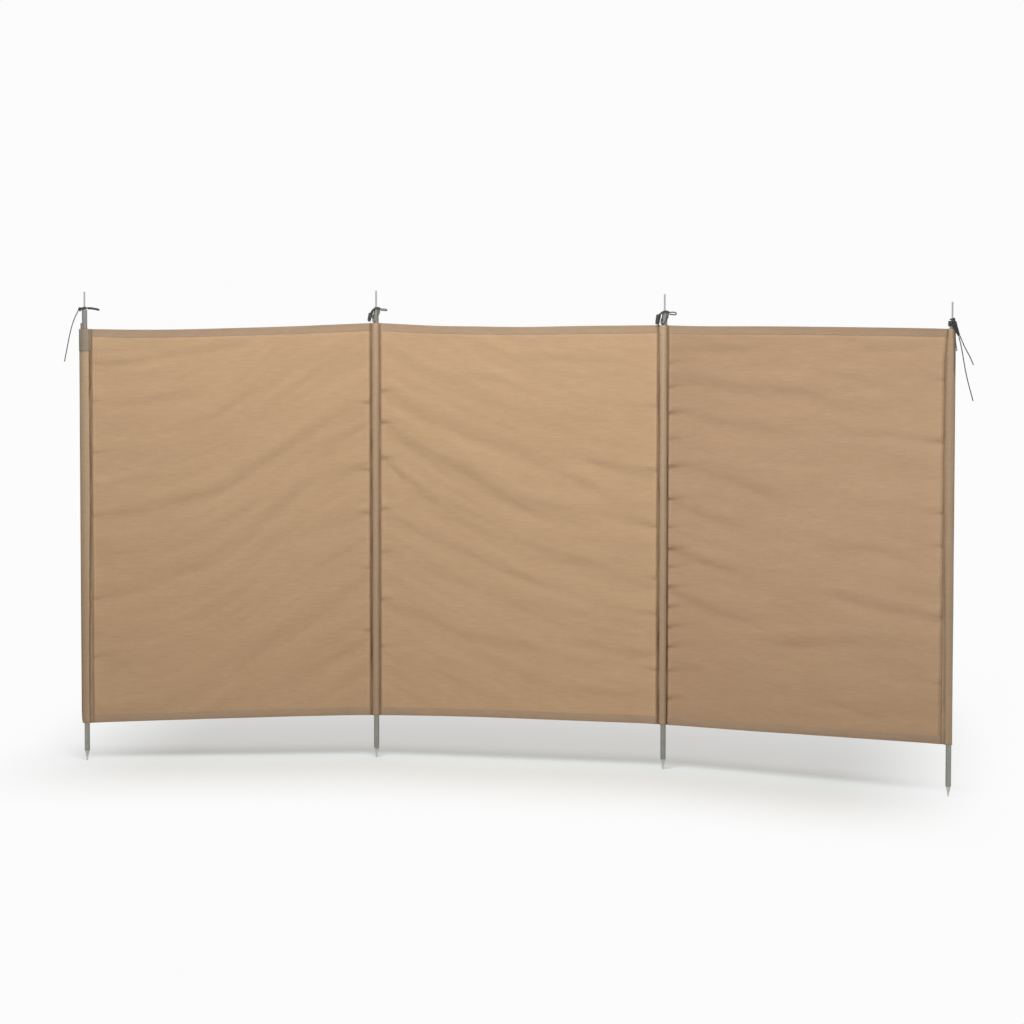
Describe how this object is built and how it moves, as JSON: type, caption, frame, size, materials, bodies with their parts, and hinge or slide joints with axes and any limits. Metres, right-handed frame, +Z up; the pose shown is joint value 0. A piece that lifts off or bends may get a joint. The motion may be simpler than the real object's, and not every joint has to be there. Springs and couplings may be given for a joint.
{
  "type": "beach windbreak",
  "caption": "Cloth windbreak in three bays, sleeved on upright steel poles with pointed feet, top pins and corded heads, set in a shallow arc.",
  "frame": {"origin": "the blunt end of the second pole's ground point, on that pole's axis", "axes": "+Z up along the poles; +X along the middle bay, from the second pole to the third; -Y towards the front, which the two outer bays turn towards"},
  "size_m": [3.1715, 0.3014, 1.667],
  "materials": {
    "cloth": "woven polycotton, matt",
    "tape": "woven tape, matt",
    "tube": "dull zinc-plated",
    "pin": "bright drawn wire",
    "plug": "moulded, satin",
    "point": "moulded, translucent",
    "cord": "braided",
    "thin_cord": "twisted"
  },
  "bodies": {
    "root": {"pole_tube_1": "tube", "ground_point_1": "point", "top_plug_1": "plug", "top_pin_1": "pin", "sleeve_1": "cloth", "pole_tube_2": "tube", "ground_point_2": "point", "top_plug_2": "plug", "top_pin_2": "pin", "sleeve_2": "cloth", "pole_tube_3": "tube", "ground_point_3": "point", "top_plug_3": "plug", "top_pin_3": "pin", "sleeve_3": "cloth", "pole_tube_4": "tube", "ground_point_4": "point", "top_plug_4": "plug", "top_pin_4": "pin", "sleeve_4": "cloth", "bay_cloth_1": "cloth", "top_hem_1": "cloth", "bottom_hem_1": "cloth", "bay_cloth_2": "cloth", "top_hem_2": "cloth", "bottom_hem_2": "cloth", "bay_cloth_3": "cloth", "top_hem_3": "cloth", "bottom_hem_3": "cloth", "sleeve_patch_1": "tape", "sleeve_cuff_1": "tape", "cord_hitch_1": "cord", "cord_knot_1": "cord", "cord_hitch_2": "cord", "cord_knot_2": "cord", "cord_hitch_3": "cord", "cord_knot_3": "cord", "cord_hitch_4": "cord", "cord_knot_4": "cord", "cord_bight_1": "cord", "cord_bight_2": "cord", "cord_bight_3": "cord", "cord_tail_1": "thin_cord", "cord_tail_4a": "thin_cord", "cord_tail_4b": "thin_cord", "cord_tail_4c": "thin_cord"}
  },
  "joints": []
}
